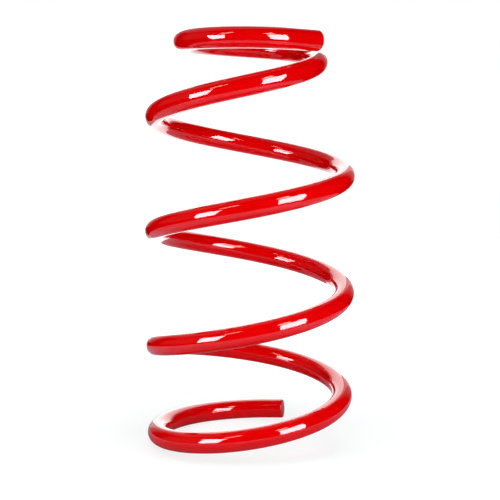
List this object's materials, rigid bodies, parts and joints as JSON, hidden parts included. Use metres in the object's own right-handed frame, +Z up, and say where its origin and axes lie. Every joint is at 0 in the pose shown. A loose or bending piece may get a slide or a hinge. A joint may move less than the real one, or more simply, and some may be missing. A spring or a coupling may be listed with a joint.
{
  "type": "helical spring",
  "caption": "Open helical compression spring of round wire: wide lowest coil on a ramped seat, free coils, and a closed, narrower top coil; glossy red coat.",
  "frame": {"origin": "at the lower_seat mount: on the coil axis, level with the underside of the lowest coil", "axes": "+Z up along the coil axis towards the closed top coil; +X to the right as the picture sees it, with the lower wire end at the back"},
  "size_m": [0.145, 0.145, 0.285],
  "materials": {
    "red_coat": "gloss coat on steel wire"
  },
  "bodies": {
    "root": {"coil_spring": "red_coat"}
  },
  "joints": []
}
